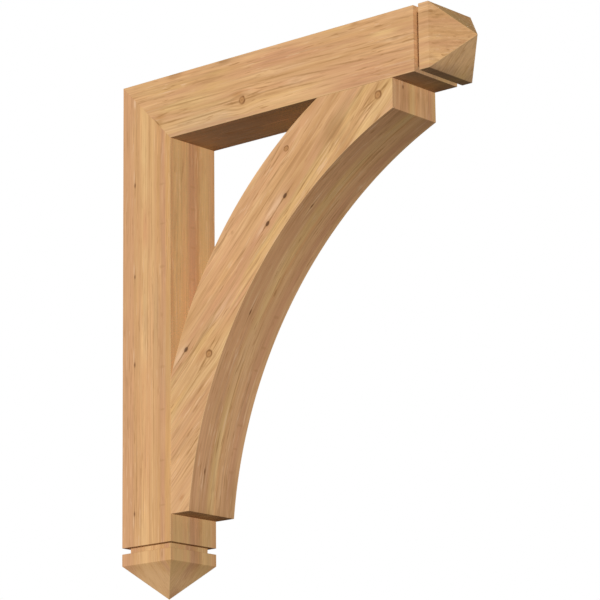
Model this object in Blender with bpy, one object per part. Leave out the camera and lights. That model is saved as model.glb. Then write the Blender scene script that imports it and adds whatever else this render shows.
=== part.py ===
# Wooden corbel bracket. A wall post and an overhanging beam are mitred together at the top, each ends in a
# groove, a square block and a four-sided point, and a curved brace stands flush between them.
# Sizes are in metres. X runs away from the wall, Y across the timbers and Z up.
# The origin is on the wall face of the post, at mid-width and halfway down the plain part of that face.

import math

import bmesh
import bpy
from mathutils import Matrix, Vector

# Overall sizes
HEIGHT = 1.1176  # from the top of the beam to the lower tip
REACH = 0.9144  # from the wall to the tip of the beam

# Timber, one stock for all three pieces
TIMBER_WIDTH = 0.1397  # across, along Y
TIMBER_DEPTH = 0.1397  # the post along X and the beam along Z

# Shaped end, the same on the post and the beam
PLAIN_END = 0.05715  # plain timber between the brace and the groove
GROOVE_WIDTH = 0.0127
GROOVE_DEPTH = 0.0127
BLOCK_LENGTH = 0.0254
POINT_LENGTH = 0.06985  # from the base of the point to its tip

# Curved brace
FOOT_STANDOUT = 0.0508  # how far the foot stands out from the post
FOOT_SEAT = 0.2885  # length of the seat on the post
NOSE_DROP = 0.0635  # how far the nose hangs below the beam
HEAD_SEAT = 0.1977  # length of the seat under the beam
CURVE_RISE = 0.1285  # hollow of the front curve under its chord
CURVE_STEPS = 48

# Clearance left in every joint
JOINT_GAP = 0.0003

# Places that follow from the sizes
SHAPED_END = GROOVE_WIDTH + BLOCK_LENGTH + POINT_LENGTH
TOP = (HEIGHT - SHAPED_END) / 2  # half of the plain wall face is above the origin
UNDERSIDE = TOP - TIMBER_DEPTH
FOOT_LEVEL = TOP - HEIGHT + SHAPED_END + PLAIN_END
NOSE_FACE = REACH - SHAPED_END - PLAIN_END

# Finish
WOOD_ROUGHNESS = 0.62
SMOOTH_BELOW = math.radians(20)


def wood(name, colour):
    """A matt timber finish of one colour."""
    material = bpy.data.materials.new(name)
    material.use_nodes = True
    shader = material.node_tree.nodes["Principled BSDF"]
    shader.inputs["Base Color"].default_value = (*colour, 1)
    shader.inputs["Roughness"].default_value = WOOD_ROUGHNESS
    shader.inputs["Metallic"].default_value = 0
    return material


def finished_object(name, bm, material, parent):
    """Turns the solid in bm into a named object under the parent."""
    bmesh.ops.recalc_face_normals(bm, faces=bm.faces)
    mesh = bpy.data.meshes.new(name)
    bm.to_mesh(mesh)
    bm.free()
    mesh.shade_smooth()
    mesh.set_sharp_from_angle(angle=SMOOTH_BELOW)
    mesh.materials.append(material)
    piece = bpy.data.objects.new(name, mesh)
    piece.parent = parent
    bpy.context.scene.collection.objects.link(piece)
    return piece


def extruded_section(bm, face, x, inset):
    """Extrudes the end face to x and draws its four corners in from the timber's faces by inset."""
    made = bmesh.ops.extrude_face_region(bm, geom=[face, *face.edges])["geom"]
    end = next(item for item in made if isinstance(item, bmesh.types.BMFace))
    side = TIMBER_WIDTH / 2 - inset
    for corner in end.verts:
        is_outer = corner.co.z > -TIMBER_DEPTH / 2
        corner.co.x = x
        corner.co.y = math.copysign(side, corner.co.y)
        corner.co.z = -inset if is_outer else inset - TIMBER_DEPTH
    return end


def pointed_timber(name, length, material, parent):
    """A timber along +X, its outer face on Z = 0, mitred at X = 0 and grooved and pointed at the other end."""
    bm = bmesh.new()
    mitre = JOINT_GAP / math.sqrt(2)  # each side of the joint gives up half of the gap
    half = TIMBER_WIDTH / 2
    corners = (
        (mitre, -half, 0),
        (mitre, half, 0),
        (mitre + TIMBER_DEPTH, half, -TIMBER_DEPTH),
        (mitre + TIMBER_DEPTH, -half, -TIMBER_DEPTH),
    )
    end = bm.faces.new([bm.verts.new(corner) for corner in corners])

    groove_start = length - SHAPED_END
    groove_end = groove_start + GROOVE_WIDTH
    block_end = groove_end + BLOCK_LENGTH
    end = extruded_section(bm, end, groove_start, 0)
    end = extruded_section(bm, end, groove_start, GROOVE_DEPTH)
    end = extruded_section(bm, end, groove_end, GROOVE_DEPTH)
    end = extruded_section(bm, end, groove_end, 0)
    end = extruded_section(bm, end, block_end, 0)
    tip = bmesh.ops.poke(bm, faces=[end])["verts"][0]
    tip.co = (length, 0, -TIMBER_DEPTH / 2)
    return finished_object(name, bm, material, parent)


def arc(start, end, radius):
    """Points after start up to end, on a circle whose centre is to the right of the way between them."""
    chord = end - start
    right = Vector((chord.y, -chord.x)).normalized()
    centre = (start + end) / 2 + right * math.sqrt(radius**2 - (chord.length / 2) ** 2)
    turn = 2 * math.asin(chord.length / 2 / radius)
    arm = start - centre
    steps = range(1, CURVE_STEPS + 1)
    return [centre + Matrix.Rotation(-turn * step / CURVE_STEPS, 2) @ arm for step in steps]


def curved_brace(name, material, parent):
    """A plank seated on the post and under the beam, its front and back cut to one radius."""
    seat = TIMBER_DEPTH + JOINT_GAP
    ceiling = UNDERSIDE - JOINT_GAP
    heel = Vector((seat, FOOT_LEVEL))
    toe = Vector((TIMBER_DEPTH + FOOT_STANDOUT, FOOT_LEVEL))
    nose = Vector((NOSE_FACE, UNDERSIDE - NOSE_DROP))
    nose_top = Vector((NOSE_FACE, ceiling))
    back_foot = Vector((seat, FOOT_LEVEL + FOOT_SEAT))
    back_head = Vector((NOSE_FACE - HEAD_SEAT, ceiling))

    half_chord = (nose - toe).length / 2
    radius = (half_chord**2 + CURVE_RISE**2) / (2 * CURVE_RISE)
    front = [toe, *arc(toe, nose, radius)]
    back = [back_foot, *arc(back_foot, back_head, radius)]
    outline = [heel, *front, nose_top, *reversed(back)]

    bm = bmesh.new()
    face = bm.faces.new([bm.verts.new((point.x, -TIMBER_WIDTH / 2, point.y)) for point in outline])
    made = bmesh.ops.extrude_face_region(bm, geom=[face, *face.edges])["geom"]
    far_side = [item for item in made if isinstance(item, bmesh.types.BMVert)]
    bmesh.ops.translate(bm, verts=far_side, vec=(0, TIMBER_WIDTH, 0))
    return finished_object(name, bm, material, parent)


def build():
    for leftover in list(bpy.data.objects):
        bpy.data.objects.remove(leftover, do_unlink=True)

    bracket = bpy.data.objects.new("corbel_bracket", None)
    bpy.context.scene.collection.objects.link(bracket)

    beam = pointed_timber("top_beam", REACH, wood("beam_wood", (0.62, 0.37, 0.18)), bracket)
    beam.location.z = TOP

    # Half a turn about the mitre line lays the timber's outer face on the wall and points it down.
    post = pointed_timber("wall_post", HEIGHT, wood("post_wood", (0.57, 0.33, 0.15)), bracket)
    post.location.z = TOP
    post.rotation_euler = (math.pi, math.pi / 2, 0)

    curved_brace("curved_brace", wood("brace_wood", (0.6, 0.35, 0.17)), bracket)


build()
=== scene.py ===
import math

import bpy
import numpy as np
from mathutils import Matrix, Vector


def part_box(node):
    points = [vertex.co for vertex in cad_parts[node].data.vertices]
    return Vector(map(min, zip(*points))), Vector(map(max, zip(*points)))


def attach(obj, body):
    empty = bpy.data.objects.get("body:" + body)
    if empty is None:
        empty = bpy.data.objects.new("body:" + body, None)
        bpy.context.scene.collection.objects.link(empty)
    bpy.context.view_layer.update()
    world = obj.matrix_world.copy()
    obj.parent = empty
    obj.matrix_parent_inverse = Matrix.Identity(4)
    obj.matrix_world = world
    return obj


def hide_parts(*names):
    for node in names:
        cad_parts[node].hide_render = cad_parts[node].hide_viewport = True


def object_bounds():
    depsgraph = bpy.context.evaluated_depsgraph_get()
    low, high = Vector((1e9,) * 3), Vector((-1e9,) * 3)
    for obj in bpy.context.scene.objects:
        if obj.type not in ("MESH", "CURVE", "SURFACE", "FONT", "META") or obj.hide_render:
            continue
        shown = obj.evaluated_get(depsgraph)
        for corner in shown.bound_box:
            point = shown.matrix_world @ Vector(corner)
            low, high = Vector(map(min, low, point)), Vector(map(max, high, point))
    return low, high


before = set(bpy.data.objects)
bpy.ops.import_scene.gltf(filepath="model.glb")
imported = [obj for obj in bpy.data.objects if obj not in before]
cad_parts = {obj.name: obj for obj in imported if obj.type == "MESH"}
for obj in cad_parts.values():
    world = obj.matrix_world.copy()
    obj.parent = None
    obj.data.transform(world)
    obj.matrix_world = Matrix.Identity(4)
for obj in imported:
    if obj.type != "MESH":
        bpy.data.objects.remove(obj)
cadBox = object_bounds()

beamLow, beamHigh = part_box("top_beam")
postLow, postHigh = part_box("wall_post")
braceLow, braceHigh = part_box("curved_brace")

# The stock, and the shaped end that the post and the beam share
stock = {
    "width": beamHigh.y - beamLow.y,
    "depth": beamHigh.z - beamLow.z,
    "top": beamHigh.z,
    "grooveWidth": 0.0127,
    "grooveDepth": 0.0127,
    "blockLength": 0.0254,
    "pointLength": 0.06985,
    "jointGap": 0.0001,  # left open at the mitre and at the brace's seats
    "arris": 0.0009,  # radius of the eased long edges
    "ease": 0.0007,  # radius where the groove, block and point meet
    "blunt": 0.0004,  # taken off the very tip
    "planing": 0.00008,  # depth of the planer's waves
    "knotHollow": 0.0006,  # depth of the hollow at a dead knot
    "knotGroove": 0.0004,  # depth of the groove round a ring knot
    "sharpAngle": 40,  # faces that meet at more degrees than this get a crease
}
half = stock["width"] / 2


# Meshes

# Columns of points round a box section. Side 0 faces -Y, side 1 is the timber's inner side, side 2 faces +Y
# and side 3 is its outer side. A column is a point of the unit square and an outward direction for the
# rounding: the cosine and sine of a quarter turn at each corner.
def sectionColumns(acrossSteps, roundSteps):
    square = []
    outward = []
    side = []
    for k in range(4):
        normal = np.array([(-1, 0), (0, 1), (1, 0), (0, -1)][k])
        tangent = np.array([(0, 1), (1, 0), (0, -1), (-1, 0)][k])
        along = np.linspace(-1, 1, acrossSteps[k])[:, None]
        square.append(normal + along * tangent)
        outward.append(np.repeat(normal[None], acrossSteps[k], 0))
        turn = np.linspace(0, math.pi / 2, roundSteps + 2)[1:-1, None]
        square.append(np.repeat((normal + tangent)[None], roundSteps, 0))
        outward.append(np.cos(turn) * normal + np.sin(turn) * tangent)
        side += [k] * (acrossSteps[k] + roundSteps // 2) + [(k + 1) % 4] * (roundSteps - roundSteps // 2)
    return np.concatenate(square), np.concatenate(outward), np.array(side)


# A path through corner points, each inner corner turned into a small arc: points at a distance from the
# corner on both sides, and a quadratic curve between them. The straights are cut to a spacing.
def easedPath(corners, ease, spacing):
    corners = np.array(corners, float)
    steps = np.linalg.norm(np.diff(corners, axis=0), axis=1)
    ways = np.diff(corners, axis=0) / steps[:, None]
    path = [corners[:1]]
    here = corners[0]
    for i in range(1, len(corners)):
        isLast = i == len(corners) - 1
        back = 0 if isLast else min(ease, steps[i - 1] / 3, steps[i] / 3)
        there = corners[i] - ways[i - 1] * back
        cuts = max(1, int(round(np.linalg.norm(there - here) / spacing)))
        share = np.linspace(0, 1, cuts + 1)[1:, None]
        path.append(here + share * (there - here))
        here = there
        if not isLast:
            after = corners[i] + ways[i] * back
            share = np.array([1 / 3, 2 / 3, 1])[:, None]
            path.append((1 - share) ** 2 * there + 2 * share * (1 - share) * corners[i] + share**2 * after)
            here = after
    return np.concatenate(path)


# A closed skin over a grid of points: rows along the piece, columns round it, and a pole at each end.
# grainOf gives the place along and across the grain and the depth, for each corner of each face.
# The point fields are arris, how far a point is from the nearest long edge, and the groove's painted shade,
# how dark the groove is painted there.
def skin(name, rows, poles, pointFields, grainOf, columnSide, look):
    rowCount, columnCount = rows.shape[:2]
    points = np.concatenate([rows.reshape(-1, 3), poles])
    index = np.arange(rowCount * columnCount).reshape(rowCount, columnCount)
    after = np.roll(index, -1, 1)
    quads = np.stack([index[:-1], after[:-1], after[1:], index[1:]], -1).reshape(-1, 4)
    firstFan = np.stack([np.full(columnCount, len(points) - 2), after[0], index[0]], -1)
    lastFan = np.stack([np.full(columnCount, len(points) - 1), index[-1], after[-1]], -1)
    corners = np.concatenate([quads.ravel(), firstFan.ravel(), lastFan.ravel()])
    sizes = np.concatenate([np.full(len(quads), 4), np.full(2 * columnCount, 3)])
    sides = np.tile(columnSide, rowCount + 1)
    first = np.concatenate([[0], np.cumsum(sizes)[:-1]])
    owner = np.repeat(np.arange(len(sizes)), sizes)

    # The volume under the faces is negative when they point inwards, and then each face is turned round
    a, b, c = (points[corners[first + k]] for k in range(3))
    if (np.cross(a, b) * c).sum() < 0:
        corners = corners[2 * first[owner] + sizes[owner] - 1 - np.arange(len(corners))]

    mesh = bpy.data.meshes.new(name)
    mesh.vertices.add(len(points))
    mesh.vertices.foreach_set("co", points.ravel())
    mesh.loops.add(len(corners))
    mesh.loops.foreach_set("vertex_index", corners)
    mesh.polygons.add(len(sizes))
    mesh.polygons.foreach_set("loop_start", first)
    mesh.update(calc_edges=True)
    mesh.validate()
    grain = grainOf(points[corners], sides[owner])
    middle = np.add.reduceat(grain, first, 0) / sizes[:, None]
    fields = {
        "grain": ("FLOAT_VECTOR", "vector", grain),
        "knot": ("FLOAT_VECTOR", "vector", nearestKnot(grain, middle[owner], look["knots"])),
        "stroke": ("FLOAT_VECTOR", "vector", nearestStroke(grain, middle[owner], look["strokes"])),
        "bend": ("FLOAT", "value", bendOfKnots(grain[:, 0], grain[:, 1], look["knots"])),
        "stain": ("FLOAT_COLOR", "color", stainAndShadingOf(grain[:, 0], grain[:, 1], look["stainsAndShading"])),
    }
    for field, (kind, key, values) in fields.items():
        mesh.attributes.new(field, kind, "CORNER").data.foreach_set(key, values.ravel())
    for field, values in pointFields.items():
        byPoint = np.broadcast_to(values, (rowCount, columnCount))
        everyRow = np.append(byPoint, [byPoint[0].min(), byPoint[-1].min()])
        mesh.attributes.new(field, "FLOAT", "POINT").data.foreach_set("value", everyRow)
    mesh.shade_smooth()
    mesh.set_sharp_from_angle(angle=math.radians(stock["sharpAngle"]))
    piece = bpy.data.objects.new(name, mesh)
    bpy.context.scene.collection.objects.link(piece)
    print("skin", name, len(points), "points")
    return piece


# The place of a corner from the knot nearest to its face, counted in the knot's half length and half width,
# and the number of the knot's kind. A negative half length turns the knot to face the other way.
def nearestKnot(grain, middle, knots):
    kinds = np.array([knotKinds.index(knot[0]) for knot in knots], float)
    places = np.array([knot[1:] for knot in knots]) / 1000
    away = (middle[:, None, :2] - places[None, :, :2]) / np.maximum(np.abs(places[None, :, 2:]), 0.003)
    nearest = np.argmin((away[..., 0] * 0.2) ** 2 + away[..., 1] ** 2, 1)
    offset = (grain[:, :2] - places[nearest, :2]) / places[nearest, 2:]
    return np.concatenate([offset, kinds[nearest, None]], 1)


# The place of a corner from the stroke nearest to its face, counted in the stroke's half length and half
# width, and its strength. A stroke is a straight dark line that may lie a little aslant of the grain.
def nearestStroke(grain, middle, strokes):
    startAlong, startAcross, halfLength, halfWidth = np.array([stroke[:4] for stroke in strokes]).T / 1000
    slope, strength = np.array([stroke[4:] for stroke in strokes]).T
    away = middle[:, None, 0] - startAlong
    aside = middle[:, None, 1] - startAcross - slope * away
    nearest = np.argmin((away / halfLength * 0.8) ** 2 + (aside / np.maximum(halfWidth, 0.002)) ** 2, 1)
    away = grain[:, 0] - startAlong[nearest]
    aside = grain[:, 1] - startAcross[nearest] - slope[nearest] * away
    return np.stack([away / halfLength[nearest], aside / halfWidth[nearest], strength[nearest]], -1)


# How far the grain is pushed aside by knots: each draws the lines round it apart, and less further away
def bendOfKnots(along, across, knots):
    bend = np.zeros_like(along)
    for kind, *place in knots:
        alongKnot, acrossKnot, halfLength, halfWidth = np.array(place) / 1000
        pull = knotPull[kind]
        reach = ((along - alongKnot) / halfLength / 4.5) ** 2 + ((across - acrossKnot) / halfWidth / 2.6) ** 2
        bend -= pull * (across - acrossKnot) * np.exp(-reach)
    return bend


# Soft patches of another tone: stains, and on some faces painted shade and painted light. Their colours are
# averaged by strength, and their strengths are added.
def stainAndShadingOf(along, across, stainsAndShading):
    total = np.full_like(along, 1e-6)
    colour = np.zeros((len(along), 3))
    for tone, *place, strength in stainsAndShading:
        alongStain, acrossStain, halfLength, halfWidth = np.array(place) / 1000
        reach = ((along - alongStain) / halfLength) ** 2 + ((across - acrossStain) / halfWidth) ** 2
        weight = strength * np.exp(-reach)
        total += weight
        colour += weight[:, None] * np.array(tones[tone])
    return np.concatenate([colour / total[:, None], np.clip(total, 0, 1)[:, None]], 1)


# Shallow waves left by the planer: a sum of sines along and across, between 0 and 1
def planerWaves(along, across, seed):
    waves = np.random.default_rng(int(seed * 10)).uniform(0, 2 * math.pi, 6)
    total = np.sin(along * 41 + waves[0] + 1.7 * np.sin(across * 9 + waves[1]))
    total += 0.7 * np.sin(along * 97 + across * 31 + waves[2])
    total += 0.5 * np.sin(across * 74 + waves[3] + np.sin(along * 13 + waves[4]))
    return 0.5 + total / 4.4


# How far the surface stands out at the knots: a dead knot is a small hollow, and a ring knot has a shallow
# groove round it
def knotRelief(along, across, knots):
    relief = np.zeros_like(along)
    for kind, *place in knots:
        alongKnot, acrossKnot, halfLength, halfWidth = np.array(place) / 1000
        reach = np.hypot((along - alongKnot) / halfLength, (across - acrossKnot) / halfWidth)
        if kind == "dark":
            relief -= stock["knotHollow"] * np.exp(-(reach**2))
        if kind == "ring":
            relief -= stock["knotGroove"] * np.exp(-((reach - 1) ** 2) * 9)
    return relief


# Shader maths

# A socket in a material. Sums, products and the like of wires add their Math nodes.
class Wire:
    def __init__(self, tree, socket=None):
        self.tree = tree
        self.socket = socket

    # Adds any node: settings first, then a value or a link for each named or numbered input
    def node(self, kind, settings=None, values=None, output=0):
        added = self.tree.nodes.new(kind)
        for name, value in (settings or {}).items():
            if name == "stops":
                ramp = added.color_ramp.elements
                while len(ramp) < len(value):
                    ramp.new(1)
                for element, (position, colour) in zip(ramp, value):
                    element.position = position
                    element.color = (*colour, 1)
            elif name == "rampInterpolation":
                added.color_ramp.interpolation = value
            else:
                setattr(added, name, value)
        for name, value in (values or {}).items():
            if isinstance(value, Wire):
                self.tree.links.new(value.socket, added.inputs[name])
            else:
                added.inputs[name].default_value = value
        return Wire(self.tree, added.outputs[output])

    def output(self, name):
        return Wire(self.tree, self.socket.node.outputs[name])

    def maths(self, operation, *others):
        return self.node("ShaderNodeMath", {"operation": operation}, dict(enumerate((self, *others))))

    def __add__(self, other):
        return self.maths("ADD", other)

    def __sub__(self, other):
        return self.maths("SUBTRACT", other)

    def __mul__(self, other):
        return self.maths("MULTIPLY", other)

    def __truediv__(self, other):
        return self.maths("DIVIDE", other)

    def __rsub__(self, other):
        return self.node("ShaderNodeMath", {"operation": "SUBTRACT"}, {0: other, 1: self})

    __radd__ = __add__
    __rmul__ = __mul__


# 0 below low, 1 above high, and a smooth step between them. With low above high it falls instead.
def step(value, low, high):
    settings = {"interpolation_type": "SMOOTHSTEP"}
    if low < high:
        return value.node("ShaderNodeMapRange", settings, {"Value": value, "From Min": low, "From Max": high})
    values = {"Value": value, "From Min": high, "From Max": low, "To Min": 1.0, "To Max": 0.0}
    return value.node("ShaderNodeMapRange", settings, values)


# Noise about 0, from -0.5 to 0.5, on a place that is stretched along the grain by its three scales per metre
def noise(place, scales, seed, detail=2.0, roughness=0.5):
    along, across, depth = place
    alongScale, acrossScale, depthScale = scales
    values = {0: along * alongScale, 1: across * acrossScale, 2: depth * depthScale + seed}
    stretched = along.node("ShaderNodeCombineXYZ", {}, values)
    values = {"Vector": stretched, "Scale": 1.0, "Detail": detail, "Roughness": roughness}
    return along.node("ShaderNodeTexNoise", {"noise_dimensions": "3D"}, values) - 0.5


# One colour where the factor is 0 and the other where it is 1
def blend(factor, colourA, colourB):
    values = {"Factor": factor, 6: colourA, 7: colourB}
    for slot in (6, 7):
        if isinstance(values[slot], tuple):
            values[slot] = (*values[slot], 1)
    return factor.node("ShaderNodeMix", {"data_type": "RGBA"}, values, output=2)


# A bell, 1 in the middle and about 0.02 two radii out: e to the power of minus the squared reach
def bell(squaredReach):
    return (squaredReach * -1.0).maths("EXPONENT")


# Wood

# Wood tones by name, as linear colour
tones = {
    "pink": (0.605, 0.325, 0.156),
    "rose": (0.580, 0.298, 0.150),
    "tan": (0.600, 0.334, 0.144),
    "yellow": (0.645, 0.385, 0.152),
    "pale": (0.700, 0.422, 0.184),
    "orange": (0.635, 0.338, 0.142),
    "peach": (0.670, 0.385, 0.182),
    "olive": (0.590, 0.358, 0.148),
    "moss": (0.520, 0.330, 0.140),
    "straw": (0.730, 0.470, 0.210),
    "milk": (0.740, 0.465, 0.270),
    "cream": (0.750, 0.458, 0.222),
    "blush": (0.705, 0.385, 0.188),
    "amber": (0.605, 0.332, 0.126),
    "clay": (0.540, 0.286, 0.118),
    "russet": (0.500, 0.258, 0.104),
    # The next tone is painted shade for the beam's underside.
    "undersideShade": (0.460, 0.284, 0.150),
    "umber": (0.410, 0.212, 0.080),
    "rust": (0.500, 0.238, 0.088),
    "line": (0.375, 0.182, 0.062),
    "heart": (0.270, 0.115, 0.036),
    "thread": (0.300, 0.140, 0.034),
    # The next two tones are painted shade in the grooves: the first where the shade is deepest, the second
    # where it is light, less orange, like end grain.
    "deepGrooveShade": (0.260, 0.125, 0.032),
    "shadeInGroove": (0.250, 0.170, 0.075),
    # The shade tone is painted shade for the beam's underside in the window.
    "shade": (0.450, 0.300, 0.180),
    "plum": (0.505, 0.262, 0.126),
    "bark": (0.230, 0.092, 0.022),
    "dead": (0.085, 0.030, 0.008),
    "ringHeart": (0.450, 0.215, 0.072),
    "pinHeart": (0.190, 0.075, 0.022),
}

# How hard each kind of knot draws the grain round it. The order numbers the kinds.
knotPull = {"dark": 0.7, "ring": 0.8, "faint": 0.15, "pin": 0.5}
knotKinds = list(knotPull)

# The noises of the wood: scales along the grain, across it and in depth per metre, what is added to the
# piece's seed, detail and roughness
woodNoises = {
    "wander": ((1.7, 5.0, 3.0), 0, 1.0, 0.5),
    "ripple": ((7.0, 22.0, 8.0), 7, 1.0, 0.5),
    "drift": ((3.0, 40.0, 20.0), 11, 2.0, 0.5),
    "stainEdge": ((9.0, 170.0, 60.0), 13, 2.0, 0.6),
    "hue": ((4.0, 36.0, 20.0), 43, 2.0, 0.55),
    "figure": ((2.1, 16.0, 14.0), 17, 2.0, 0.5),
    "patchy": ((3.2, 26.0, 20.0), 19, 2.0, 0.5),
    "streak": ((4.0, 180.0, 40.0), 23, 2.0, 0.6),
    "hair": ((9.0, 300.0, 90.0), 31, 2.0, 0.6),
    "fibre": ((20.0, 850.0, 600.0), 29, 3.0, 0.65),
    "pore": ((40.0, 620.0, 300.0), 37, 1.0, 0.5),
    "dash": ((26.0, 260.0, 90.0), 41, 1.0, 0.5),
    "busy": ((6.0, 24.0, 16.0), 47, 1.0, 0.5),
    "rough": ((120.0, 190.0, 120.0), 3, 2.0, 0.5),
    "loose": ((60.0, 75.0, 60.0), 5, 2.0, 0.5),
}


# Timber with its own bands of colour, flowing lines, fibres, stains and knots
def timberWood(name, look):
    material = bpy.data.materials.new(name)
    material.use_nodes = True
    tree = material.node_tree
    shader = tree.nodes["Principled BSDF"]
    start = Wire(tree)

    def field(name, output):
        return start.node("ShaderNodeAttribute", {"attribute_name": name}, output=output)

    def parts(vector):
        split = vector.node("ShaderNodeSeparateXYZ", {}, {0: vector})
        return [split.output(axis) for axis in "XYZ"]

    along, across, depth = parts(field("grain", "Vector"))
    alongKnot, acrossKnot, kind = parts(field("knot", "Vector"))
    alongStroke, acrossStroke, strokeStrength = parts(field("stroke", "Vector"))
    stain = field("stain", "Color")
    seed = look["seed"]

    def isKind(knotKind):
        return kind.maths("COMPARE", knotKinds.index(knotKind), 0.5)

    def woodNoise(noiseName, acrossGrain):
        scales, seedStep, detail, roughness = woodNoises[noiseName]
        return noise((along, acrossGrain, depth), scales, seed + seedStep, detail, roughness)

    # The grain wanders slowly, and bends round each knot
    bent = across + field("bend", "Fac")
    bent = bent + woodNoise("wander", across) * look["wander"]
    bent = bent + woodNoise("ripple", across) * look["wander"] * 0.3

    # Broad bands of colour across the grain, then the patches: stains, and painted shade and painted light
    drift = woodNoise("drift", bent) * 0.010
    stops = [(position / 1000 / look["span"], tones[tone]) for position, tone in look["bands"]]
    settings = {"stops": stops, "rampInterpolation": "LINEAR"}
    colour = start.node("ShaderNodeValToRGB", settings, {0: (bent + drift) / look["span"]})
    uneven = woodNoise("stainEdge", bent) * 1.7 + 1.0
    colour = blend(step(stain.output("Alpha") * uneven, 0.0, 1.1), colour, stain)

    # The hue changes slowly from place to place, and long soft smears are dark and light
    hue = woodNoise("hue", bent)
    colour = blend(step(hue, 0.04, 0.2) * look["hues"], colour, tones["rose"])
    colour = blend(step(hue, -0.04, -0.2) * look["hues"], colour, tones["yellow"])
    smear = noise((along, bent, depth), look["smearScale"], seed + 15, 2.0, 0.55)
    colour = blend(step(smear, 0.06, 0.2) * look["smears"], colour, tones["umber"])
    colour = blend(step(smear, -0.06, -0.2) * look["smears"] * 0.7, colour, tones["straw"])

    # Year rings seen from the side: a wave of the bent place that darkens slowly and ends sharply
    phase = bent / look["ringSpacing"]
    phase = phase + woodNoise("figure", bent) * look["figure"]
    saw = phase.maths("FRACT")
    ring = step(saw, 0.3, 0.88) * step(saw, 1.0, 0.93)
    patchy = woodNoise("patchy", bent)
    isRing = isKind("ring")
    nearRing = bell(alongKnot * alongKnot * 0.03 + acrossKnot * acrossKnot * 0.10) * isRing
    colour = blend(ring * (step(patchy, -0.12, 0.2) * look["rings"] + nearRing * 0.4), colour, tones["line"])

    # Streaks, threads, fibres and short pores
    streak = woodNoise("streak", bent)
    hair = woodNoise("hair", bent)
    fibre = woodNoise("fibre", bent)
    pore = woodNoise("pore", bent)
    dash = woodNoise("dash", bent)
    busy = step(woodNoise("busy", bent), -0.16, 0.16) + 0.4
    if look["tipCalm"]:
        busy = busy * (1.0 - step(along, look["tipStart"], look["tipStart"] + 0.01) * look["tipCalm"])
    tint = 1.0 + (streak * look["streaks"] + hair * look["hairs"]) * busy + fibre * look["fibres"]
    colour = colour.node("ShaderNodeVectorMath", {"operation": "SCALE"}, {0: colour, "Scale": tint})
    threads = busy * look["threads"]
    dashes = busy * look["dashes"]
    inDash = dash + smear * 0.4
    colour = blend(step(streak + patchy * 0.35, 0.15, 0.23) * threads, colour, tones["line"])
    colour = blend(step(streak - patchy * 0.35, -0.15, -0.23) * threads * 0.7, colour, tones["milk"])
    colour = blend(step(inDash, 0.15, 0.23) * dashes, colour, tones["line"])
    colour = blend(step(inDash, -0.15, -0.23) * dashes, colour, tones["milk"])
    colour = blend(step(pore, 0.16, 0.26) * 0.25, colour, tones["heart"])

    # Knots. A dead knot is nearly black, with a dark thread through it and a milky patch beside it, and a
    # pin knot is a small soft brown one. A ring knot has a brown heart in a dark crescent and a rusty patch,
    # and a faint one is only a soft spot.
    rough = woodNoise("rough", across)
    loose = woodNoise("loose", across)
    offAlong = alongKnot + loose * 0.5
    offAcross = acrossKnot + rough * 0.3
    reach = (offAlong * offAlong + offAcross * offAcross).maths("SQRT")
    isDark = isKind("dark")
    isFaint = isKind("faint")
    isPin = isKind("pin")
    hasThread = isDark + isPin
    besideAlong = alongKnot + 3.2
    besideAcross = acrossKnot + 1.1
    milk = bell(besideAlong * besideAlong * 0.14 + besideAcross * besideAcross * 1.2)
    milk = milk * hasThread * look["milk"]
    rustAlong = alongKnot + 1.7
    rustAcross = acrossKnot + 0.8
    rust = bell(rustAlong * rustAlong * 0.5 + rustAcross * rustAcross * 1.3) * isRing
    fromLine = (acrossKnot + rough * 0.5).maths("ABSOLUTE")
    line = bell(alongKnot * alongKnot * 0.05) * step(fromLine, 0.5, 0.1) * hasThread
    fromStroke = (acrossStroke + rough * 0.7).maths("ABSOLUTE")
    stroke = bell(alongStroke * alongStroke) * step(fromStroke, 1.2, 0.3) * strokeStrength
    soft = step(reach, 2.3, 0.8) * 0.55 * isDark + step(reach, 1.3, 0.3) * 0.6 * isFaint
    soft = soft + step(reach, 2.0, 0.9) * 0.15 * isRing
    heart = step(reach, 1.1, 0.75) * isRing
    crescent = 0.55 + rough * 1.4 + step(alongKnot, -0.8, 0.7) * 0.45
    rim = step(reach, 0.5, 0.8) * step(reach, 1.25, 0.95) * crescent
    rim = rim.maths("MAXIMUM", step(reach, 0.4, 0.1) * 0.45) * isRing
    core = step(reach, 1.15, 0.65) * isDark
    pin = step(reach, 1.5, 0.2) * isPin
    colour = blend(milk, colour, tones["milk"])
    colour = blend(rust * 0.3, colour, tones["rust"])
    colour = blend(soft * 0.65, colour, tones["umber"])
    colour = blend(line * 0.8, colour, tones["heart"])
    colour = blend(stroke * 0.8, colour, tones["thread"])
    colour = blend(heart * 0.8, colour, tones["ringHeart"])
    colour = blend(rim * 0.82, colour, tones["bark"])
    colour = blend(core * 0.8, colour, tones["dead"])
    colour = blend(pin * 0.9, colour, tones["pinHeart"])

    # The arris is a little paler, partly as wear and partly as a painted highlight
    wearAndHighlight = step(field("arris", "Fac") + hair * 0.002, 0.0022, 0.0006)
    colour = blend(wearAndHighlight * 0.25, colour, tones["straw"])
    # The grooves are darkened with painted shade: a thin wash on the walls, darker in the corners and on the
    # floor.
    dust = field("dust", "Fac")
    grooveShadeTone = blend(step(dust, 0.3, 0.6), tones["shadeInGroove"], tones["deepGrooveShade"])
    colour = blend(dust, colour, grooveShadeTone)

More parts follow.
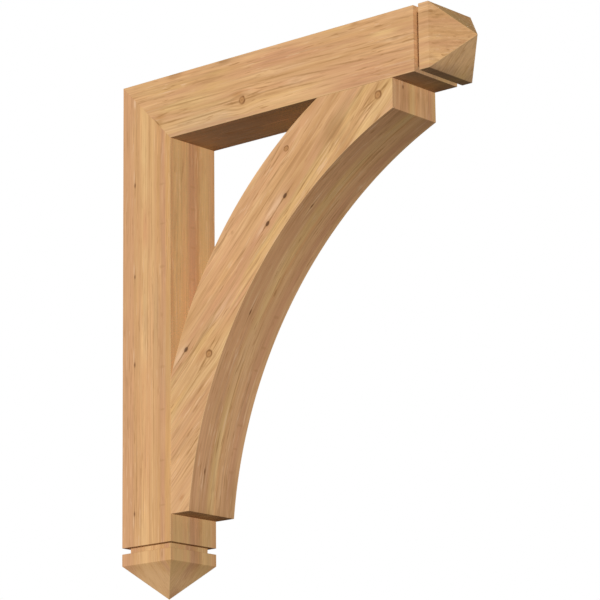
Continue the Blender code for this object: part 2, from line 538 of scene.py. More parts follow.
    tree.links.new(colour.socket, shader.inputs["Base Color"])
    sheen = 0.58 + fibre * 0.2 - ring * 0.06 + core * 0.12 + patchy * 0.06 - wearAndHighlight * 0.06
    tree.links.new(sheen.socket, shader.inputs["Roughness"])
    shader.inputs["Specular IOR Level"].default_value = 0.2
    height = fibre * 0.5 + hair * 0.4 + ring * 0.18 - core * 1.2
    height = height - (line + stroke) * 0.5 - rim * 0.3 - pore * 0.2
    bump = height.node("ShaderNodeBump", {}, {"Height": height, "Distance": 0.0004, "Strength": 0.55})
    tree.links.new(bump.socket, shader.inputs["Normal"])
    print("material", name, len(tree.nodes), "nodes")
    return material


# Post and beam

# Each sheet of bands and knots is unrolled round the timber from the near outer edge: first the near side,
# then the inner side, the far side and the outer side, each as wide as the stock.
def acrossSides(y, depth, side):
    width = stock["width"]
    return np.choose(side, [depth, width + y + half, 3 * width - depth, 4 * width - y - half])


# The place along the timber, across its unrolled sides, and how deep it lies under the side's plain face
def timberGrain(toLocal):
    def grainOf(points, side):
        along, y, depth = toLocal(points)
        inset = np.choose(side, [y + half, stock["depth"] - depth, half - y, depth])
        return np.stack([along, acrossSides(y, depth, side), inset], -1)

    return grainOf


# A timber whose section is carried from the mitre to its tip. Along it each row has a place and an inset;
# near the mitre the rows lean so that the first lies in the mitre.
def pointedTimber(name, length, toWorld, toLocal, look):
    shapedEnd = stock["grooveWidth"] + stock["blockLength"] + stock["pointLength"]
    grooveStart = length - shapedEnd
    grooveEnd = grooveStart + stock["grooveWidth"]
    blockEnd = grooveEnd + stock["blockLength"]
    corners = [
        (0, 0),
        (grooveStart, 0),
        (grooveStart, stock["grooveDepth"]),
        (grooveEnd, stock["grooveDepth"]),
        (grooveEnd, 0),
        (blockEnd, 0),
        (length - stock["blunt"] * 2, half - stock["blunt"] * 2),
    ]
    path = easedPath(corners, stock["ease"], look["spacing"])
    square, outward, side = sectionColumns([look["acrossSteps"]] * 4, 3)
    place = path[:, 0, None]
    size = half - path[:, 1, None]
    radius = np.minimum(stock["arris"], size * 0.7)
    y = square[None, :, 0] * (size - radius) + outward[None, :, 0] * radius
    depth = square[None, :, 1] * (size - radius) + outward[None, :, 1] * radius + half
    mitre = stock["jointGap"] / math.sqrt(2) + depth
    share = np.clip(place / grooveStart, 0, 1)
    along = np.where(place < grooveStart, mitre * (1 - share) + place, place)

    # Planing and knots, pushed in from the faces
    across = acrossSides(y, depth, side[None])
    fade = 0.01  # how far from each end of the face the waves and the relief die out
    onFace = np.clip((grooveStart - place) / fade, 0, 1) * np.clip(place / fade, 0, 1)
    onFace = np.where(path[:, 1, None] < 1e-6, onFace, 0)
    push = -stock["planing"] * planerWaves(along, across, look["seed"])
    push = (push + knotRelief(along, across, look["knots"])) * onFace
    y = y + outward[None, :, 0] * push
    depth = depth + outward[None, :, 1] * push

    rows = toWorld(along, y, depth)
    gap = stock["jointGap"] / math.sqrt(2)
    ends = np.array([gap + half, length - stock["blunt"]])
    poles = toWorld(ends, np.zeros(2), np.full(2, half))
    arris = np.maximum(size * (1 - np.abs(square[:, 0])), size * (1 - np.abs(square[:, 1])))
    sunk = path[:, 1, None] / stock["grooveDepth"]
    # Painted shade in the groove: on its walls, deepest in its corners, and on its floor.
    shadeInGroove = look["wallShade"] * np.clip(sunk * 8, 0, 1) + look["cornerShade"] * sunk**6
    shadeInGroove = np.where(place < grooveStart + 0.0005, shadeInGroove, look["floorShade"] * sunk**3)
    dust = np.where(place < blockEnd - 0.001, shadeInGroove, 0)
    timber = skin(name, rows, poles, {"arris": arris, "dust": dust}, timberGrain(toLocal), side, look)
    timber.data.materials.append(timberWood(look["wood"], look))
    return timber


def beamToWorld(along, y, depth):
    return np.stack([along, y, stock["top"] - depth], -1)


def beamToLocal(points):
    return points[..., 0], points[..., 1], stock["top"] - points[..., 2]


def postToWorld(along, y, depth):
    return np.stack([depth, y, stock["top"] - along], -1)


def postToLocal(points):
    return stock["top"] - points[..., 2], points[..., 1], points[..., 0]


beamLook = {
    "wood": "beam_wood",
    "wallShade": 0.28,  # painted shade on the groove's walls, in its corners and on its floor
    "cornerShade": 0.35,
    "floorShade": 0.35,
    "seed": 3.1,
    "spacing": 0.0031,  # between rows of points
    "acrossSteps": 44,  # points across each side
    "span": 4 * stock["width"],  # how far the bands reach across
    "wander": 0.005,  # how far the grain strays
    "figure": 1.7,  # how much the year rings wave
    "ringSpacing": 0.0075,
    "rings": 0.20,  # strengths of the year rings, the smears and so on
    "smears": 0.40,
    "smearScale": (9.0, 120.0, 40.0),
    "tipCalm": 0,  # how much plainer the tip is
    "threads": 0.43,
    "dashes": 0.48,
    "hues": 0.22,
    "streaks": 0.36,
    "hairs": 0.40,
    "fibres": 0.20,
    "milk": 0.3,  # the pale patch beside a dead knot
    # place across the unrolled sides, tone
    "bands": [
        (0, "peach"), (12, "peach"), (26, "tan"), (42, "pink"), (55, "peach"),
        (66, "tan"), (78, "peach"), (87, "pink"), (100, "peach"), (112, "pale"),
        # From 141 to 275 across lies the beam's underside, whose tones are darkened as painted shade.
        (120, "cream"), (128, "pale"), (134, "pink"), (141, "undersideShade"), (200, "undersideShade"),
        (240, "moss"), (275, "undersideShade"), (290, "peach"), (330, "tan"), (370, "pink"),
        (410, "peach"), (440, "orange"), (480, "tan"), (520, "yellow"), (555, "peach"),
    ],
    # tone, along, across, half length, half width, strength
    "stainsAndShading": [
        ("blush", 340, 134.5, 170, 4, 0.7), ("straw", 230, 114, 70, 12, 0.5),
        ("straw", 145, 74, 50, 8, 0.5), ("yellow", 85, 100, 35, 10, 0.6),
        ("cream", 745, 56, 30, 12, 0.5), ("yellow", 150, 26, 60, 12, 0.75),
        ("yellow", 60, 6, 40, 8, 0.5), ("yellow", 265, 52, 60, 14, 0.75),
        ("yellow", 255, 90, 70, 8, 0.75), ("olive", 190, 62, 60, 6, 0.4),
        ("straw", 195, 73, 55, 8, 0.9), ("amber", 104, 103, 14, 5, 1),
        ("pale", 75, 30, 45, 14, 0.8), ("cream", 250, 122, 50, 8, 0.8),
        ("cream", 575, 120, 50, 8, 0.8), ("cream", 525, 88, 40, 6, 0.5),
        ("rose", 60, 40, 40, 12, 0.7), ("rose", 175, 45, 50, 5, 0.5),
        ("rose", 450, 28, 90, 18, 1.2), ("milk", 470, 58, 70, 6, 0.35),
        ("tan", 550, 70, 90, 10, 0.6), ("yellow", 600, 6, 45, 6, 0.7),
        ("rose", 530, 90, 30, 10, 0.4), ("rose", 670, 118, 100, 24, 1.4),
        ("peach", 740, 100, 30, 30, 0.5), ("rose", 790, 128, 50, 20, 0.5),
        ("milk", 760, 62, 30, 6, 0.35), ("milk", 490, 92, 30, 7, 0.4),
        ("rose", 170, 137, 120, 3, 0.5), ("umber", 153, 3, 17, 7, 1.6),
        ("umber", 294, 1, 18, 6, 1.4), ("umber", 654, 1, 10, 6, 0.7),
        # The shade patch at 240 along darkens the underside in the window: painted shade.
        ("umber", 780, 210, 40, 80, 0.25), ("shade", 240, 205, 110, 80, 1.2),
        # The cream patches at 868 and 885 along lighten the point's lower facet: painted light.
        ("olive", 480, 170, 90, 45, 0.8), ("cream", 868, 165, 18, 22, 0.9),
        ("cream", 885, 210, 30, 60, 1.2), ("rust", 110, 87, 14, 5.5, 1),
        ("russet", 430, 104, 45, 5, 0.8), ("clay", 200, 8, 60, 6, 0.7),
        ("rust", 332.5, 85, 15, 5.5, 1), ("cream", 372, 88, 18, 6, 0.6),
        ("cream", 630, 106, 50, 6, 0.7), ("cream", 490, 128, 70, 8, 0.8),
        ("cream", 420, 54, 60, 6, 0.6), ("clay", 680, 8, 50, 5, 0.7),
        ("yellow", 280, 24, 40, 10, 0.8), ("yellow", 170, 80, 50, 10, 0.8),
        ("straw", 725, 40, 50, 7, 0.7), ("straw", 400, 56, 50, 5, 0.5),
        # The moss patch at 880 along darkens the point's top facet: painted shade.
        ("pale", 80, 40, 40, 8, 0.5), ("moss", 880, 490, 35, 70, 0.7),
    ],
    # kind, along, across, half length (negative where it faces back), half width
    "knots": [
        ("ring", 345.4, 100.3, 8.2, 8.8), ("faint", 108, 100, 10, 7),
        ("faint", 495, 90, 16, 4), ("faint", 759, 60, 12, 4),
        ("ring", 260, 350, 9, 8), ("dark", 590, 390, 6, 4),
        ("dark", 420, 490, 6, 4), ("ring", 690, 510, 10, 9),
    ],
    # along, across, half length, half width, slope, strength
    "strokes": [
        (300, 96, 35, 2.4, 0, 0.6), (445, 70, 70, 2.4, 0, 0.6),
        (440, 96, 80, 2.1, 0, 0.6), (600, 68, 50, 1.8, 0, 0.5),
        (230, 33, 35, 2.1, 0, 0.55), (360, 75, 45, 1.8, 0, 0.5),
        (536, 83.4, 57, 2.2, 0.07, 0.65), (643, 83.7, 56, 2.2, 0.07, 0.65),
        (675, 61.2, 50, 2, 0.015, 0.6), (761, 56.6, 36, 2, 0.03, 0.6),
        (558, 52.1, 46, 2, 0.048, 0.6), (750, 86.8, 47, 2, 0.045, 0.6),
        (519, 104.5, 41, 2, 0.034, 0.6), (193, 71, 100, 2, 0.007, 0.55),
        (228, 111.7, 90, 2, -0.024, 0.55), (318.4, 101.8, 24, 3.4, 0.02, 0.95),
        (377.4, 98.6, 28, 2.2, -0.03, 0.85), (378, 92.8, 26, 2, -0.14, 0.8),
        (101.7, 99.2, 9, 2.8, 1, 0.9), (144, 104.5, 40, 2.4, -0.02, 0.8),
        (118, 84, 18, 2.2, -0.16, 0.6),
    ],
}

postLook = {
    "wood": "post_wood",
    "wallShade": 0.55,
    "cornerShade": 0.3,
    "floorShade": 0.12,
    "seed": 11.4,
    "spacing": 0.0031,
    "acrossSteps": 44,
    "span": 4 * stock["width"],
    "wander": 0.0016,
    "figure": 0.5,
    "ringSpacing": 0.0062,
    "rings": 0.16,
    "smears": 0.22,
    "smearScale": (5.0, 130.0, 40.0),
    "tipStart": 1.0478,
    "tipCalm": 0.65,
    "threads": 0.40,
    "dashes": 0.32,
    "hues": 0.16,
    "streaks": 0.30,
    "hairs": 0.40,
    "fibres": 0.20,
    "milk": 0.75,
    "bands": [
        (0, "pink"), (30, "pink"), (36, "tan"), (49, "tan"), (58, "pale"),
        (72, "pale"), (79, "tan"), (88, "pale"), (98, "tan"), (106, "amber"),
        (115, "plum"), (121, "rose"), (127, "amber"), (136, "amber"), (142, "clay"),
        (152, "olive"), (172, "olive"), (184, "tan"), (191, "olive"), (201, "plum"),
        (212, "plum"), (225, "russet"), (238, "olive"), (258, "olive"), (268, "tan"),
        (279, "clay"), (350, "pink"), (440, "pink"), (480, "yellow"), (556, "pink"),
    ],
    "stainsAndShading": [
        ("moss", 520, 96, 80, 6, 0.6), ("plum", 600, 111, 330, 11, 0.4),
        ("cream", 570, 70, 30, 6, 0.6), ("moss", 335, 147, 50, 6, 0.6),
        ("clay", 190, 235, 30, 8, 0.5), ("straw", 120, 62, 45, 7, 0.5),
        ("straw", 170, 64, 22, 9, 0.8), ("straw", 390, 66, 26, 9, 0.8),
        ("straw", 490, 66, 22, 8, 0.8), ("straw", 235, 68, 30, 10, 0.6),
        ("straw", 570, 64, 60, 7, 0.6), ("straw", 760, 62, 45, 6, 0.5),
        ("straw", 990, 64, 40, 9, 0.5), ("orange", 650, 66, 30, 8, 0.7),
        ("rose", 330, 66, 50, 4, 0.5), ("rose", 900, 50, 50, 5, 0.4),
        ("orange", 480, 52, 60, 5, 0.5), ("milk", 42, 35, 12, 3, 1.4),
        ("rose", 280, 116, 70, 7, 0.5), ("rose", 700, 116, 70, 7, 0.5),
        ("plum", 570, 114, 30, 7, 0.7), ("peach", 490, 7, 30, 6, 0.8),
        ("peach", 790, 116, 30, 8, 0.6), ("umber", 985, 210, 35, 80, 0.28),
        # The moss patch at 610 along and the umber patch at 150 along darken the post's front: painted shade,
        # behind the brace and under the beam.
        ("rose", 985, 212, 35, 12, 0.6), ("moss", 610, 210, 100, 80, 0.9),
        ("umber", 150, 215, 60, 50, 0.35), ("pale", 100, 64, 60, 10, 0.6),
        ("yellow", 150, 84, 60, 6, 0.6), ("orange", 790, 66, 120, 20, 0.75),
        ("orange", 340, 64, 60, 12, 0.6), ("pale", 560, 72, 60, 7, 0.5),
        ("clay", 340, 46, 60, 4, 0.6), ("clay", 720, 46, 40, 5, 0.7),
        # The cream patches at 1085 along lighten the point's facets: painted light.
        ("cream", 1085, 70, 28, 70, 1.1), ("blush", 650, 85, 400, 50, 0.38),
        ("rose", 1045, 12, 20, 14, 0.9), ("cream", 1085, 210, 28, 70, 0.7),
    ],
    "knots": [
        ("pin", 226.2, 35.8, 5.6, 2.4), ("pin", 428.7, 35.8, 4.8, 2.1),
        ("pin", 621.1, 35.8, 5.8, 2.4), ("pin", 940.5, 35.8, -5.2, 2.3),
        ("faint", 238, 115, 3, 9), ("faint", 325.5, 116, 2.5, 9),
        ("faint", 420, 116, 4, 9), ("faint", 525, 115, 6, 3.5),
        ("faint", 637, 116, 4, 9), ("faint", 728, 116, 3, 8),
        ("faint", 837, 115, 3, 8), ("faint", 931, 116, 2.5, 9),
        ("faint", 235, 210, 3, 10), ("faint", 285, 210, 4, 11),
        ("faint", 326, 210, 3, 10), ("faint", 370, 210, 3, 10),
        ("faint", 440, 210, 4, 9), ("pin", 350, 370, 6, 3),
        ("ring", 720, 345, 9, 7.5), ("pin", 600, 490, 6, 3),
    ],
    "strokes": [
        (150, 79, 80, 1.4, 0, 0.45), (300, 85, 100, 1.4, 0, 0.45),
        (500, 73, 100, 1.2, 0, 0.45), (740, 90, 120, 1.3, 0, 0.45),
        (920, 80, 90, 1.2, 0, 0.45), (280, 174, 90, 1, 0, 0.45),
        (500, 190, 80, 1, 0, 0.45), (330, 238, 100, 1, 0, 0.45),
        (208, 36.2, 16, 1, 0, 0.4), (930, 62, 50, 1.2, 0, 0.5),
        (1034, 114.8, 7, 2.2, 0, 0.55), (1023, 213.4, 11, 2.2, 0, 0.5),
    ],
}

beam = pointedTimber("beam_timber", beamHigh.x, beamToWorld, beamToLocal, beamLook)
post = pointedTimber("post_timber", postHigh.z - postLow.z, postToWorld, postToLocal, postLook)
for timber, node, slotName in ((beam, "top_beam", "beam_timber"), (post, "wall_post", "post_timber")):
    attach(timber, "root")
    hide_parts(node)
print("post and beam done")


# Brace

braceLook = {
    "wood": "brace_wood",
    "seed": 23.7,
    "spacing": 0.0031,
    "acrossSteps": [40, 44, 40, 44],
    "footStandout": 0.0508,
    "footSeat": 0.2885,
    "noseDrop": 0.0635,
    "headSeat": 0.1977,
    "curveRise": 0.1285,
    "arris": 0.0005,
    "grainAngle": 45.0,  # the grain of its sides, up from level
    "nearSheet": -0.10,  # what is added to the place across the grain to reach each sheet of bands
    "frontSheet": 0.40,
    "farSheet": 0.50,
    "backSheet": 1.00,
    "farShift": 0.37,  # the far side's grain is moved along by this
    "span": 1.15,
    "wander": 0.003,
    "figure": 1.6,
    "ringSpacing": 0.0080,
    "rings": 0.24,
    "smears": 0.42,
    "smearScale": (9.0, 100.0, 40.0),
    "tipCalm": 0,
    "threads": 0.43,
    "dashes": 0.48,
    "hues": 0.22,
    "streaks": 0.36,
    "hairs": 0.40,
    "fibres": 0.20,
    "milk": 0.75,
    "bands": [
        (0, "peach"), (35, "pink"), (50, "peach"), (62, "tan"), (85, "peach"),
        (96, "pink"), (106, "rose"), (113, "pink"), (122, "olive"), (132, "yellow"),
        (142, "pale"), (152, "tan"), (168, "yellow"), (180, "straw"), (192, "pale"),
        (203, "peach"), (228, "pink"), (250, "peach"), (320, "peach"), (405, "pink"),
        (447, "pink"), (458, "yellow"), (468, "straw"), (476, "orange"), (490, "peach"),
        (504, "pink"), (518, "rose"), (532, "peach"), (620, "peach"), (760, "yellow"),
        (1000, "tan"),
    ],
    "stainsAndShading": [
        ("moss", 660, 105, 70, 16, 0.5), ("clay", 480, 100, 80, 18, 0.4),
        ("cream", 80, 175, 45, 10, 0.5), ("umber", 980, 526, 70, 10, 0.35),
        ("umber", 120, 526, 60, 8, 0.35), ("cream", 735, 408, 50, 8, 0.4),
        ("milk", 414, 96, 34, 9, 1.2), ("milk", 30, 98.5, 28, 9, 1.5),
        ("umber", 622, 120, 36, 16, 1), ("clay", 630, 32, 30, 12, 0.8),
        ("cream", 330, 50, 30, 10, 0.7), ("umber", 560, 85, 40, 4, 0.4),
        ("olive", 100, 108, 50, 8, 0.5), ("orange", 230, 90, 80, 20, 0.6),
        ("rose", 250, 120, 70, 6, 0.6), ("rose", 560, 105, 50, 8, 0.6),
        ("rust", 73, 147.8, 15, 5.5, 1.1), ("umber", 40, 150, 40, 4, 0.4),
        ("straw", 110, 176, 40, 6, 0.6), ("straw", 720, 178, 40, 8, 0.6),
        ("pale", 490, 150, 70, 8, 0.6), ("umber", -80, 275, 60, 4, 0.5),
        ("umber", -110, 295, 70, 3, 0.5), ("umber", -50, 256, 50, 3, 0.35),
        ("rust", -175, 316, 10, 6, 0.7), ("rose", 740, 35, 40, 20, 0.5),
        ("cream", 510, 453, 80, 8, 0.9), ("cream", 700, 464, 60, 9, 0.6),
        ("cream", 170, 476, 30, 8, 0.7), ("pale", 500, 466, 150, 8, 0.5),
        ("pale", 330, 464, 80, 8, 0.5), ("umber", 20, 470, 42, 500, 0.4),
        # The umber patch at 1080 along darkens the foot's underside: painted shade.
        ("umber", 1080, 470, 40, 500, 0.9), ("yellow", 420, 464, 80, 10, 0.6),
        ("cream", 60, 170, 50, 20, 0.6), ("straw", 20, 180, 70, 11, 1.2),
        ("milk", 175, 130, 40, 10, 0.7), ("cream", 10, 138, 50, 16, 0.7),
        ("blush", 180, 70, 40, 10, 0.9), ("cream", 270, 30, 35, 12, 0.8),
        ("cream", 395, 48, 30, 8, 0.6), ("russet", 600, 172, 45, 12, 1.1),
        ("clay", 480, 108, 40, 10, 0.6), ("cream", 695, 165, 28, 10, 1.1),
        ("clay", 520, 92, 60, 8, 0.7), ("russet", 690, 70, 30, 12, 0.6),
        ("cream", 690, 480, 70, 14, 0.8), ("peach", 450, 408, 30, 10, 0.8),
        ("blush", 260, 48, 70, 26, 0.9), ("blush", 205, 131, 60, 10, 0.9),
        ("pink", 220, 157, 80, 15, 1), ("russet", 560, 72, 160, 8, 0.8),
        ("umber", 620, 150, 28, 12, 0.5), ("clay", 460, 152, 45, 8, 0.8),
        ("straw", 95, 180, 30, 9, 1.2), ("rose", -30, 190, 60, 15, 0.8),
        ("umber", -90, 202, 22, 9, 0.5), ("cream", 750, 182, 30, 8, 0.7),
        ("clay", 100, 70, 35, 12, 0.7), ("umber", 1000, 510, 60, 40, 0.3),
        ("rose", 760, 464, 120, 10, 0.4), ("cream", 735, 464, 30, 8, 0.8),
        ("cream", 240, 408, 30, 8, 0.7), ("rose", 180, 460, 80, 10, 0.7),
    ],
    "knots": [
        ("ring", 741.8, 165.4, 9, 8.6), ("ring", 87.7, 164.1, 8.8, 8),
        ("dark", 449.7, 103.4, 6.6, 4.8), ("dark", 379.7, 104.8, 6.4, 4.7),
        ("dark", 55.1, 105, 6.6, 4.8), ("faint", 309.5, 36, 5.5, 5),
        ("ring", 523, 35.7, 6.8, 6), ("pin", 352, 435, 6.6, 2),
        ("pin", 612.7, 435, 7, 2.2), ("pin", 957.8, 435, -7, 2.2),
        ("pin", 12.1, 434.5, 5, 2.4), ("faint", 610, 515, 4, 9),
        ("faint", 680, 515, 4, 8), ("faint", 730, 515, 3, 8),
        ("faint", 850, 515, 3, 9), ("faint", 900, 515, 3, 8),
        ("faint", 950, 515, 4, 8), ("ring", 520, 700, 8, 7),
        ("dark", 250, 800, 6, 4), ("dark", 300, 1060, 6, 3),
    ],
    "strokes": [
        (414, 104.2, 40, 2, 0, 0.58), (20, 106, 30, 2, 0, 0.58),
        (20, 172, 60, 2.5, 0, 0.58), (670, 158, 50, 2.5, 0, 0.58),
        (685, 170, 45, 2.2, 0, 0.58), (250, 148, 50, 2, 0, 0.58),
        (205, 158, 50, 2, 0, 0.58), (300, 60, 50, 1.7, 0, 0.58),
        (420, 70, 70, 1.7, 0, 0.58), (470, 48, 50, 2, 0, 0.58),
        (-100, 285, 60, 2.2, 0, 0.58), (-50, 264, 50, 2, 0, 0.58),
        (520, 128, 60, 2, 0, 0.58), (160, 475, 90, 2, 0, 0.58),
        (230, 466, 70, 1.7, 0, 0.58), (780, 472, 90, 2, 0, 0.58),
        (414.7, 104, 33, 1.8, 0.02, 1), (25, 106, 25, 1.8, 0.02, 0.9),
        (761.8, 167.4, 14, 3.4, 0.15, 0.95), (752, 151.3, 13, 3, -0.16, 0.65),
        (712.3, 159.1, 21, 2.4, 0.34, 0.9), (709.9, 166.1, 18, 2.4, 0.17, 0.9),
        (714.7, 150.5, 28, 2.2, -0.02, 0.8), (61.7, 165.7, 22, 3.6, -0.1, 0.95),
        (111.4, 156.3, 19, 2.2, -0.12, 0.8), (115, 166.3, 19, 2, -0.09, 0.8),
        (490, 30, 24, 2.2, 0.02, 0.7),
    ],
}


# The centre of a circle of a radius through start and end, on the right of the way between them: the middle
# of the chord and a step to the right, as long as the third side of the triangle of half chord and radius
def circleCentre(start, end, radius):
    chord = end - start
    length = np.linalg.norm(chord)
    right = np.array([chord[1], -chord[0]]) / length
    return (start + end) / 2 + right * math.sqrt(radius**2 - (length / 2) ** 2)


# Points on that circle from start to end, and the length of the arc: the centre plus the arm from it to the
# start, turned clockwise by a share of the whole turn
def arcPoints(start, end, radius, share):
    centre = circleCentre(start, end, radius)
    length = np.linalg.norm(end - start)
    turn = -2 * math.asin(length / 2 / radius) * share
    arm = start - centre
    x = np.cos(turn) * arm[0] - np.sin(turn) * arm[1]
    z = np.sin(turn) * arm[0] + np.cos(turn) * arm[1]
    return centre + np.stack([x, z], -1), radius * abs(2 * math.asin(length / 2 / radius))


# The brace is ruled between two rails: the back one climbs the post, follows the back curve and runs under
# the beam, and the front one is the front curve. Each row is a rounded box section between the rails.
def curvedBrace(name, look):
    seat = postHigh.x + stock["jointGap"]
    ceiling = beamLow.z - stock["jointGap"]
    heel = np.array([seat, braceLow.z])
    toe = np.array([postHigh.x + look["footStandout"], braceLow.z])
    nose = np.array([braceHigh.x, beamLow.z - look["noseDrop"]])
    noseTop = np.array([braceHigh.x, ceiling])
    backFoot = np.array([seat, braceLow.z + look["footSeat"]])
    backHead = np.array([braceHigh.x - look["headSeat"], ceiling])
    halfChord = np.linalg.norm(nose - toe) / 2
    radius = (halfChord**2 + look["curveRise"] ** 2) / (2 * look["curveRise"])

    # Shares of the whole way at which the rows lie, finer close to both ends
    backLength = arcPoints(backFoot, backHead, radius, np.array([0.0]))[1]
    total = look["footSeat"] + backLength + look["headSeat"]
    footShare = look["footSeat"] / total
    headShare = 1 - look["headSeat"] / total
    edge = np.array([0, 0.25, 0.6, 1]) * look["arris"] / total
    count = int(total / look["spacing"])
    share = np.concatenate([
        edge,
        np.linspace(edge[-1], footShare, int(count * footShare) + 1)[1:],
        np.linspace(footShare, headShare, int(count * (headShare - footShare)) + 1)[1:],
        np.linspace(headShare, 1 - edge[-1], int(count * (1 - headShare)) + 1)[1:],
        1 - edge[::-1][1:],
    ])
    onFoot = heel + (share / footShare)[:, None] * (backFoot - heel)
    arcShare = np.clip((share - footShare) / (headShare - footShare), 0, 1)
    onArc = arcPoints(backFoot, backHead, radius, arcShare)[0]
    onHead = backHead + ((share - headShare) / (1 - headShare))[:, None] * (noseTop - backHead)
    back = np.where((share < headShare)[:, None], onArc, onHead)
    back = np.where((share <= footShare)[:, None], onFoot, back)
    front, frontLength = arcPoints(toe, nose, radius, share)

    # The arris is rounded over at both ends too, and each end is closed by a smaller and smaller section
    fromEnd = np.minimum(share, 1 - share) * total
    inset = look["arris"] - np.sqrt(np.clip(look["arris"] ** 2 - (look["arris"] - fromEnd) ** 2, 0, None))
    inset = np.where(fromEnd < look["arris"], inset, 0)
    square, outward, side = sectionColumns(look["acrossSteps"], 3)
    span = np.linalg.norm(front - back, axis=1)
    middle = (front + back) / 2
    way = (front - back) / span[:, None]

    def sectionRow(middle, way, halfSpan, halfWidth, radius):
        y = square[None, :, 0] * (halfWidth - radius) + outward[None, :, 0] * radius
        reach = square[None, :, 1] * (halfSpan - radius) + outward[None, :, 1] * radius
        flat = middle[:, None] + way[:, None] * reach[..., None]
        return np.stack([flat[..., 0], y, flat[..., 1]], -1)

    rounding = np.full((len(share), 1), look["arris"])
    rows = sectionRow(middle, way, span[:, None] / 2 - inset[:, None], half - inset[:, None], rounding)
    scales = np.array([0.8, 0.5, 0.2])[:, None]
    small = look["arris"] * scales

    def capRows(end):
        here = [end] * len(scales)
        halfSpan = (span[end] / 2 - inset[end]) * scales
        return sectionRow(middle[here], way[here], halfSpan, (half - inset[end]) * scales, small)

    rows = np.concatenate([capRows(0)[::-1], rows, capRows(-1)])
    poles = np.array([[middle[k, 0], 0, middle[k, 1]] for k in (0, -1)])
    spans = np.concatenate([span[[0] * 3], span, span[[-1] * 3]])[:, None] / 2
    arris = np.maximum(half * (1 - np.abs(square[:, 0])), spans * (1 - np.abs(square[:, 1])))
    arris[[0, 1, 2, -3, -2, -1]] = 1

    # The centres of both curves, for the way along them
    frontCentre = circleCentre(toe, nose, radius)
    backCentre = circleCentre(backFoot, backHead, radius)
    noseAngle = math.atan2(nose[1] - frontCentre[1], nose[0] - frontCentre[0])
    noseHeight = noseTop[1] - nose[1]
    tilt = math.radians(look["grainAngle"])

    # On the sides the grain runs straight at its angle. On the curves it follows them, from the top of the
    # nose round the front curve to the foot, and across it runs over the width.
    def grainOf(points, pointSide):
        x, y, z = points[..., 0], points[..., 1], points[..., 2]
        straight = x * math.cos(tilt) + z * math.sin(tilt)
        sideways = x * math.sin(tilt) - z * math.cos(tilt)
        angle = np.arctan2(z - frontCentre[1], x - frontCentre[0])
        onCurve = noseHeight + radius * np.mod(angle - noseAngle, 2 * math.pi)
        onEnd = 0.0005  # a point this close to an end lies on it
        isNose = x > nose[0] - onEnd
        isFoot = z < toe[1] + onEnd
        frontAlong = np.where(isFoot, noseHeight + frontLength + toe[0] - x, onCurve)
        frontAlong = np.where(isNose, noseTop[1] - z, frontAlong)
        backAngle = np.arctan2(z - backCentre[1], x - backCentre[0])
        backAlong = radius * np.mod(backAngle, 2 * math.pi)
        isEnd = isNose | isFoot
        pointSide = np.where(isEnd & (np.abs(y) < half - onEnd), 1, pointSide)
        along = np.choose(pointSide, [straight, frontAlong, straight + look["farShift"], backAlong])
        across = np.choose(pointSide, [
            sideways + look["nearSheet"],
            y + half + look["frontSheet"],
            sideways + look["farSheet"],
            y + half + look["backSheet"],
        ])
        return np.stack([along, across, np.zeros_like(along)], -1)

    # Planing and the knots' relief, pushed in from the sides
    plainGrain = grainOf(rows, np.broadcast_to(side[None], rows.shape[:2]))
    along, across = plainGrain[..., 0], plainGrain[..., 1]
    inner = np.clip(fromEnd / 0.01, 0, 1)
    inner = np.concatenate([[0] * 3, inner, [0] * 3])[:, None]
    push = -stock["planing"] * planerWaves(along, across, look["seed"])
    push = push + knotRelief(along, across, look["knots"])
    rows[..., 1] += outward[None, :, 0] * push * inner
    brace = skin(name, rows, poles, {"arris": arris, "dust": 0.0}, grainOf, side, look)
    brace.data.materials.append(timberWood(look["wood"], look))
    return brace


brace = curvedBrace("brace_timber", braceLook)
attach(brace, "root")
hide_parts("curved_brace")
print("brace done")


# Studio

studio = {
    "floorBelow": 3.5,  # how far under the bracket the floor lies
    "floorRadius": 80,
    # name: where the light comes from, strength, angle, whether it casts shadows
    "lights": {
        "key": ((-0.24, -0.97, -0.03), 3.24, 20, True),
        "fill": ((0.97, 0.24, -0.05), 2.28, 20, False),
        "back": ((-0.55, 0.5, 0.67), 2.4, 40, True),
    },
    "lightColour": (1.0, 0.987, 0.972),
    "room": 0.05,  # brightness of the room round the bracket
    "lens": 181.52,
    "cameraPlace": (4.3755, -4.58575, -1.516775),
    "heading": 40.6427,
    "pitch": 13.8191,
    "roll": -0.6661,
}


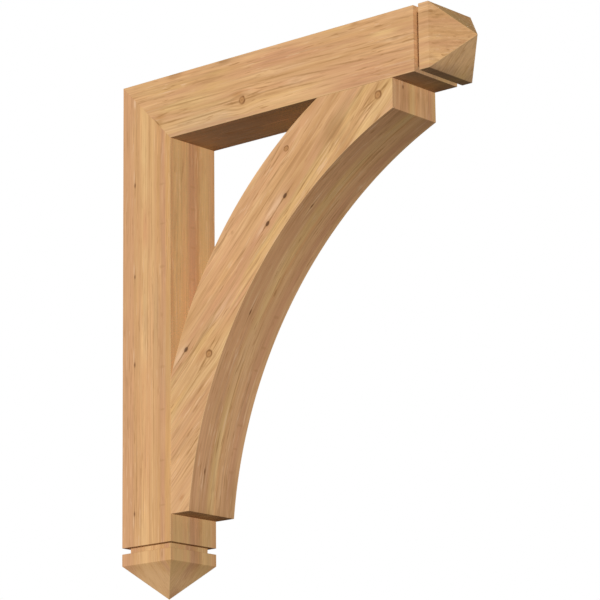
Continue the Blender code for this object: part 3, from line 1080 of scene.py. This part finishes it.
for name, (direction, strength, angle, castsShadow) in studio["lights"].items():
    light = bpy.data.lights.new(name, "SUN")
    light.energy = strength
    light.color = studio["lightColour"]
    light.angle = math.radians(angle)
    light.use_shadow = castsShadow
    lamp = bpy.data.objects.new(name, light)
    x, y, z = direction
    lamp.rotation_euler = (math.pi / 2 - math.atan2(z, math.hypot(x, y)), 0, math.atan2(x, -y))
    lamp.visible_glossy = name != "back"
    bpy.context.scene.collection.objects.link(lamp)

# The room is white to the camera and dim to the bracket
world = bpy.data.worlds.new("room")
world.use_nodes = True
room = world.node_tree
background = room.nodes["Background"]
seen = Wire(room).node("ShaderNodeLightPath", output="Is Camera Ray")
strength = seen * (1.0 - studio["room"]) + studio["room"]
background.inputs["Color"].default_value = (1, 1, 1, 1)
room.links.new(strength.socket, background.inputs["Strength"])
bpy.context.scene.world = world
bpy.context.scene.view_settings.view_transform = "Standard"

floorMesh = bpy.data.meshes.new("floor")
turn = np.linspace(0, 2 * math.pi, 97)[:-1]
ring = np.stack([np.cos(turn), np.sin(turn), np.zeros(96)], -1) * studio["floorRadius"]
ring[:, 2] = cadBox[0].z - studio["floorBelow"]
floorMesh.from_pydata(ring.tolist(), [], [list(range(96))])
floor = bpy.data.objects.new("floor", floorMesh)
bpy.context.scene.collection.objects.link(floor)
floorPaint = bpy.data.materials.new("floor_paint")
floorPaint.use_nodes = True
paint = floorPaint.node_tree.nodes["Principled BSDF"]
paint.inputs["Base Color"].default_value = (0.8, 0.8, 0.79, 1)
paint.inputs["Roughness"].default_value = 0.8
paint.inputs["Emission Color"].default_value = (1, 1, 1, 1)
paint.inputs["Emission Strength"].default_value = 0.45
floorMesh.materials.append(floorPaint)
floor.visible_diffuse = False
floor.visible_glossy = False
floor.visible_shadow = False

camera = bpy.data.objects.new("camera", bpy.data.cameras.new("camera"))
camera.data.lens = studio["lens"]
camera.data.sensor_width = 36
camera.data.clip_end = 300
turned = Matrix.Rotation(math.radians(studio["heading"]), 4, "Z")
tipped = Matrix.Rotation(math.radians(90 + studio["pitch"]), 4, "X")
rolled = Matrix.Rotation(math.radians(studio["roll"]), 4, "Z")
camera.matrix_world = Matrix.Translation(studio["cameraPlace"]) @ turned @ tipped @ rolled
bpy.context.scene.collection.objects.link(camera)
bpy.context.scene.camera = camera
print("studio done")
